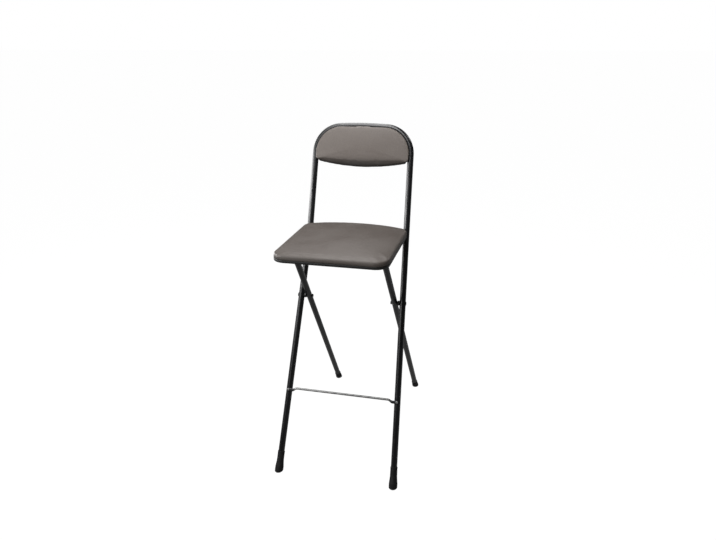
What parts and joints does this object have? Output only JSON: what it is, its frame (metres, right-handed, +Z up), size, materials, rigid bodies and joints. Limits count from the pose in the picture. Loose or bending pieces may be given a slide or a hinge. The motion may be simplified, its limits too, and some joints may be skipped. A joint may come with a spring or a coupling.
{
  "type": "folding bar stool",
  "caption": "Tall folding stool: bent tube hoop frame with a padded back, a padded seat, a crossed rear frame on two pivots and a footrest bar.",
  "frame": {"origin": "on the floor, under the middle of the stool's width and depth with the stool open", "axes": "+Z up, -Y is the way a sitter faces, +X to the right seen from the front"},
  "size_m": [0.4072, 0.6362, 1.0643],
  "materials": {
    "frame_paint": "semi-gloss black coating",
    "plated_steel": "dull zinc plating",
    "foot_rubber": "matte black rubber",
    "black_plastic": "matte black plastic",
    "vinyl": "fine-grained taupe vinyl, slight sheen",
    "plywood": "bare plywood, edges unfinished"
  },
  "bodies": {
    "front": {"front_frame": "frame_paint", "cross_rod": "frame_paint", "footrest_bar": "plated_steel", "footrest_screw_left": "plated_steel", "footrest_screw_right": "plated_steel", "front_foot_left": "foot_rubber", "front_foot_right": "foot_rubber", "pivot_bolt_left": "plated_steel", "pivot_bolt_right": "plated_steel", "pivot_bush_left": "black_plastic", "pivot_bush_right": "black_plastic", "pivot_nut_left": "plated_steel", "pivot_nut_right": "plated_steel", "back_board": "plywood", "back_cushion": "vinyl", "back_tab_left_lower": "frame_paint", "back_tab_left_upper": "frame_paint", "back_tab_right_lower": "frame_paint", "back_tab_right_upper": "frame_paint", "back_screw_left_lower": "plated_steel", "back_screw_left_upper": "plated_steel", "back_screw_right_lower": "plated_steel", "back_screw_right_upper": "plated_steel"},
    "rear": {"rear_frame": "frame_paint", "rear_foot_left": "foot_rubber", "rear_foot_right": "foot_rubber"},
    "seat": {"seat_board": "plywood", "seat_trim": "black_plastic", "seat_cushion": "vinyl", "crossbar_clip_left": "plated_steel", "crossbar_clip_right": "plated_steel", "clip_screw_left_front": "plated_steel", "clip_screw_left_rear": "plated_steel", "clip_screw_right_front": "plated_steel", "clip_screw_right_rear": "plated_steel", "seat_hook_left": "black_plastic", "seat_hook_right": "black_plastic", "hook_screw_left_front": "plated_steel", "hook_screw_left_rear": "plated_steel", "hook_screw_right_front": "plated_steel", "hook_screw_right_rear": "plated_steel"}
  },
  "joints": [
    {"name": "rear_fold", "type": "hinge", "parent": "front", "child": "rear", "pos_m": [0, -0.05883, 0.52225], "axis": [-1, 0, 0], "range_deg": [0, 48.2]},
    {"name": "seat_flip", "type": "hinge", "parent": "rear", "child": "seat", "pos_m": [0, -0.19505, 0.7186], "axis": [1, 0, 0], "range_deg": [0, 124]}
  ],
  "couplings": [
    {"joint": "seat_flip", "follows": "rear_fold", "ratio": 2.57}
  ]
}
